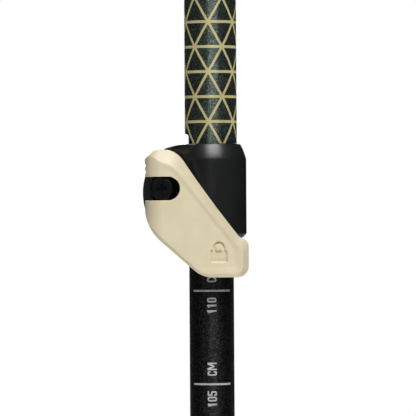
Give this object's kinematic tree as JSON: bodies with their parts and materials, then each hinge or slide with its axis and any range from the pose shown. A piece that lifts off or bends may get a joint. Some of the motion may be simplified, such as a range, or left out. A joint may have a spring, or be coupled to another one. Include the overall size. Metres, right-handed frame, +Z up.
{
  "type": "telescoping trekking pole",
  "caption": "Telescoping trekking pole of nested tubes with cam-lever shaft locks, contoured grip, foam sleeve, wrist strap, basket and hard tip.",
  "frame": {"origin": "the point of the carbide tip, on the pole's axis, where it meets the ground", "axes": "+Z up along the pole from tip to grip, -X the way the grip's front and the locks' clamping ears point, -Y the side that the locks' levers lie on"},
  "size_m": [0.095, 0.052, 1.128],
  "materials": {
    "tube_printed": "satin lacquer over dark green-black tube, with a gold line lattice",
    "tube_anodised": "satin black anodised, fine grain, printed length scale",
    "collar_plastic": "moulded black glass-filled nylon with a light sheen",
    "lever_plastic": "moulded cream plastic with a soft sheen",
    "black_steel": "black oxide",
    "bright_steel": "bright zinc",
    "bush_plastic": "moulded black acetal",
    "ferrule_plastic": "moulded black, matt",
    "basket_plastic": "soft black moulding",
    "carbide": "ground grey carbide",
    "cork": "pressed natural cork",
    "cap_plastic": "moulded black with a fine texture",
    "foam": "closed-cell foam",
    "webbing": "woven webbing",
    "strap_lining": "brushed knit over thin foam"
  },
  "bodies": {
    "grip_section": {"upper_shaft": "tube_printed", "shaft_end_plug": "bush_plastic", "grip_handle": "cork", "grip_cap": "cap_plastic", "grip_extension": "foam", "strap_pin": "bright_steel", "strap_anchor": "webbing", "upper_collar": "collar_plastic", "upper_trunnion_pin": "black_steel", "upper_square_nut": "bright_steel"},
    "upper_lever_arm": {"upper_lever": "lever_plastic"},
    "upper_screw": {"upper_tension_screw": "black_steel"},
    "middle_guide": {"middle_guide_bush": "bush_plastic"},
    "middle_section": {"middle_shaft": "tube_printed", "lower_collar": "collar_plastic", "lower_trunnion_pin": "black_steel", "lower_square_nut": "bright_steel"},
    "lower_lever_arm": {"lower_lever": "lever_plastic"},
    "lower_screw": {"lower_tension_screw": "black_steel"},
    "lower_guide": {"lower_guide_bush": "bush_plastic"},
    "lower_section": {"lower_shaft": "tube_anodised", "tip_ferrule": "ferrule_plastic", "carbide_tip": "carbide"},
    "snow_basket": {"basket": "basket_plastic"},
    "wedge": {"strap_wedge": "cap_plastic"},
    "strap": {"wrist_strap": "webbing", "wrist_pad": "strap_lining"}
  },
  "joints": [
    {"name": "upper_lever_hinge", "type": "hinge", "parent": "grip_section", "child": "upper_lever_arm", "pos_m": [-0.0131, -0.008, 0.6213], "axis": [0, 0, -1], "range_deg": [0, 150]},
    {"name": "lower_lever_hinge", "type": "hinge", "parent": "middle_section", "child": "lower_lever_arm", "pos_m": [-0.0131, -0.008, 0.3363], "axis": [0, 0, -1], "range_deg": [0, 150]},
    {"name": "upper_screw_turn", "type": "hinge", "parent": "grip_section", "child": "upper_screw", "pos_m": [-0.0131, 0, 0.6213], "axis": [0, 1, 0], "continuous": true},
    {"name": "lower_screw_turn", "type": "hinge", "parent": "middle_section", "child": "lower_screw", "pos_m": [-0.0131, 0, 0.3363], "axis": [0, 1, 0], "continuous": true},
    {"name": "middle_slide", "type": "slide", "parent": "grip_section", "child": "middle_guide", "axis": [0, 0, 1], "range_m": [-0.061, 0.245]},
    {"name": "middle_twist", "type": "hinge", "parent": "middle_guide", "child": "middle_section", "pos_m": [0, 0, 0.76], "axis": [0, 0, 1], "continuous": true},
    {"name": "lower_slide", "type": "slide", "parent": "middle_section", "child": "lower_guide", "axis": [0, 0, 1], "range_m": [-0.061, 0.224]},
    {"name": "lower_twist", "type": "hinge", "parent": "lower_guide", "child": "lower_section", "pos_m": [0, 0, 0.47], "axis": [0, 0, 1], "continuous": true},
    {"name": "basket_turn", "type": "hinge", "parent": "lower_section", "child": "snow_basket", "pos_m": [0, 0, 0.05], "axis": [0, 0, 1], "continuous": true},
    {"name": "wedge_lift", "type": "slide", "parent": "grip_section", "child": "wedge", "axis": [0, 0, 1], "range_m": [0, 0.01]},
    {"name": "strap_swing", "type": "hinge", "parent": "grip_section", "child": "strap", "pos_m": [0.018, 0, 1.1045], "axis": [0, -1, 0], "range_deg": [0, 100]}
  ]
}
